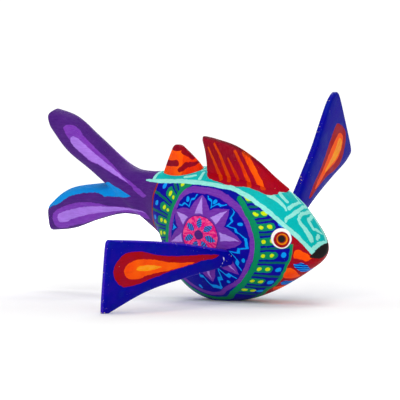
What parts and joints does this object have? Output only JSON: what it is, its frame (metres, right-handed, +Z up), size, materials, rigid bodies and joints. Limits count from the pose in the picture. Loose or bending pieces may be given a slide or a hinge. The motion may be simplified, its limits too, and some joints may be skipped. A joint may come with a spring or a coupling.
{
  "type": "fish figurine",
  "caption": "Painted carved-wood fish lying on its belly, with a forked tail, fins raised along the back and broad flat pectoral fins that pull out of sockets.",
  "frame": {"origin": "on the table plane, under the middle of the bounding box of the whole figurine", "axes": "+X towards the nose, +Y towards the fish's left, which is the raised fin, +Z up from the table; the fish is rolled 20.8 degrees about X onto its belly and its right fin"},
  "size_m": [0.1422, 0.171, 0.0875],
  "materials": {
    "painted_body": "satin acrylic paint on sanded copal wood",
    "blue_paint": "satin acrylic paint on sanded copal wood",
    "red_paint": "satin acrylic paint on sanded copal wood",
    "orange_paint": "satin acrylic paint on sanded copal wood",
    "bare_wood": "bare sanded wood"
  },
  "bodies": {
    "fish": {"carved_body": "painted_body", "front_dorsal_fin": "red_paint", "rear_dorsal_fin": "orange_paint", "front_dorsal_peg_front": "bare_wood", "front_dorsal_peg_rear": "bare_wood", "rear_dorsal_peg": "bare_wood"},
    "right_fin": {"right_pectoral_fin": "blue_paint"},
    "left_fin": {"left_pectoral_fin": "blue_paint"}
  },
  "joints": [
    {"name": "right_fin_pull", "type": "slide", "parent": "fish", "child": "right_fin", "axis": [-0.1419, -0.9869, -0.0764], "range_m": [0, 0.012]},
    {"name": "left_fin_pull", "type": "slide", "parent": "fish", "child": "left_fin", "axis": [-0.1894, 0.7946, 0.5769], "range_m": [0, 0.012]}
  ]
}
